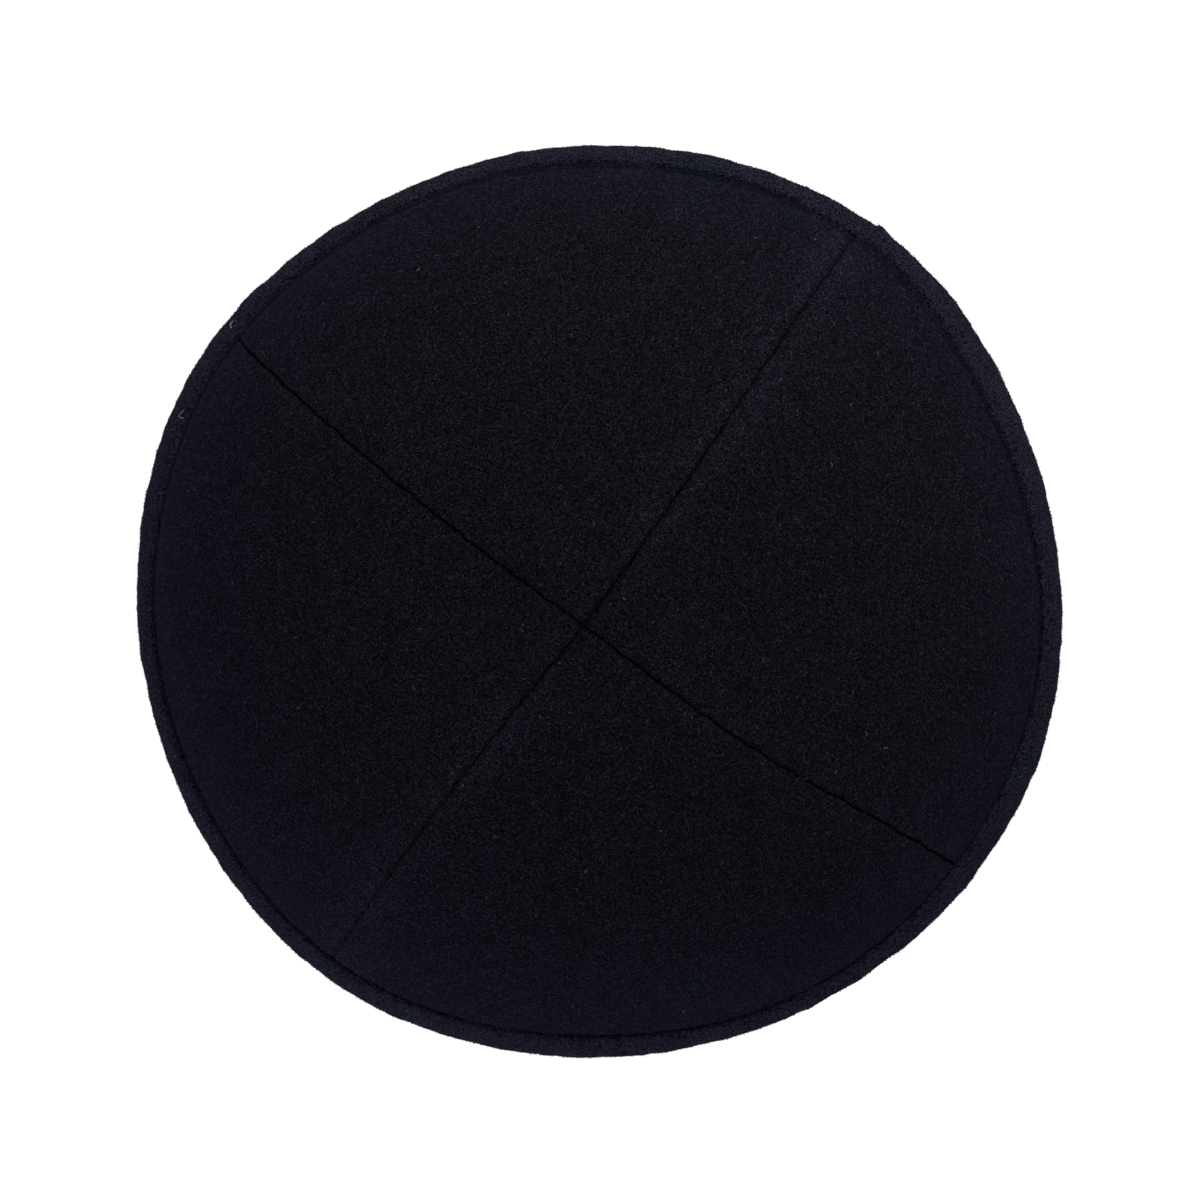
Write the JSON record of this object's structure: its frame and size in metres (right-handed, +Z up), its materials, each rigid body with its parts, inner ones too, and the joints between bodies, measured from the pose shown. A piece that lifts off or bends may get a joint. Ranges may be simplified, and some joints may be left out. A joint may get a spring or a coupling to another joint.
{
  "type": "skullcap",
  "caption": "Close-fitting domed felt skullcap of seamed crown panels with a folded rim band, shown resting on its rim.",
  "frame": {"origin": "on the table, below the middle of the rim", "axes": "+Z up through the crown, +Y towards the back panel, +X towards the right panel; the four seams run down between the axes"},
  "size_m": [0.1697, 0.168, 0.0445],
  "materials": {
    "crown_felt": "napped wool felt, matte",
    "band_felt": "napped wool felt, matte"
  },
  "bodies": {
    "root": {"crown_panel_back": "crown_felt", "crown_panel_left": "crown_felt", "crown_panel_front": "crown_felt", "crown_panel_right": "crown_felt", "rim_band": "band_felt"}
  },
  "joints": []
}
